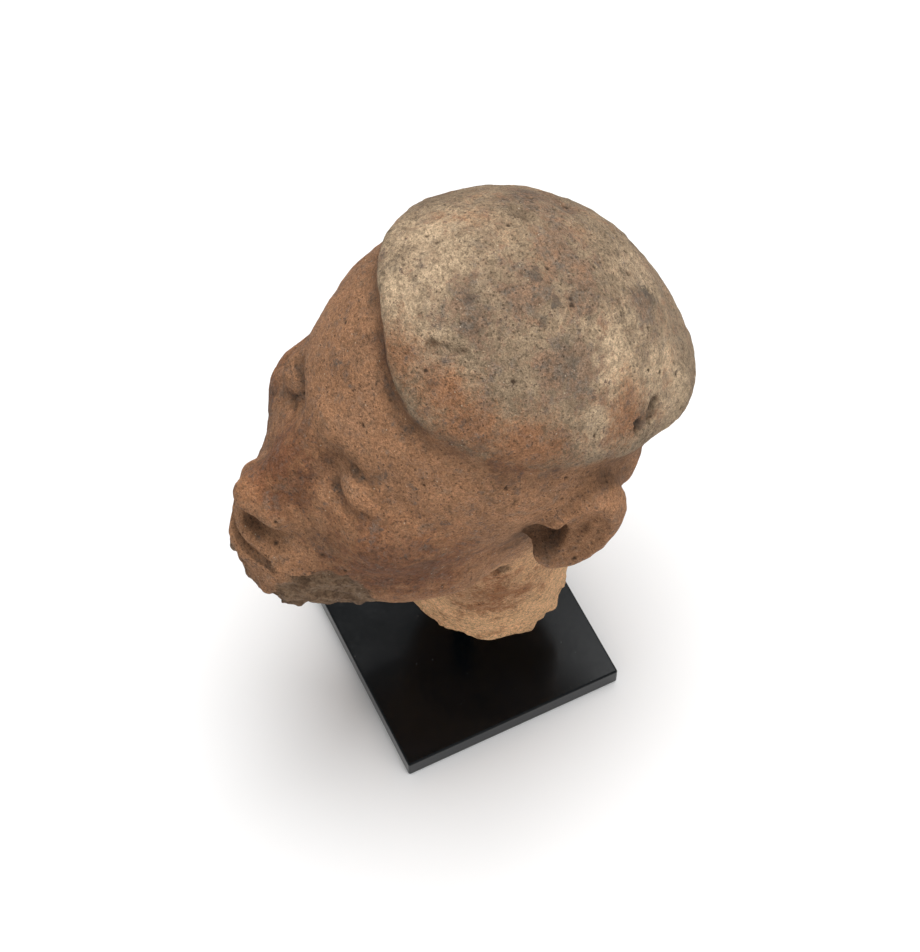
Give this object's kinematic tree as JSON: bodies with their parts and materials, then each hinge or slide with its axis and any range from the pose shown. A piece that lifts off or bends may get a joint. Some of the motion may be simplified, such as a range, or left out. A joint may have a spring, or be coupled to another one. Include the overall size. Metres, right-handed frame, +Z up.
{
  "type": "terracotta funerary head on a stand",
  "caption": "Terracotta head with a close cap and a calm face tilted up, broken off at the neck, held on a steel rod above a flat square block.",
  "frame": {"origin": "middle of the block's underside", "axes": "+Z up, the face looks along -Y, the figure's left is +X"},
  "size_m": [0.1382, 0.1838, 0.2808],
  "materials": {
    "terracotta": "matte, weathered",
    "black_steel": "satin black",
    "black_block": "satin black"
  },
  "bodies": {
    "root": {"terracotta_head": "terracotta", "mounting_rod": "black_steel", "base_block": "black_block"}
  },
  "joints": []
}
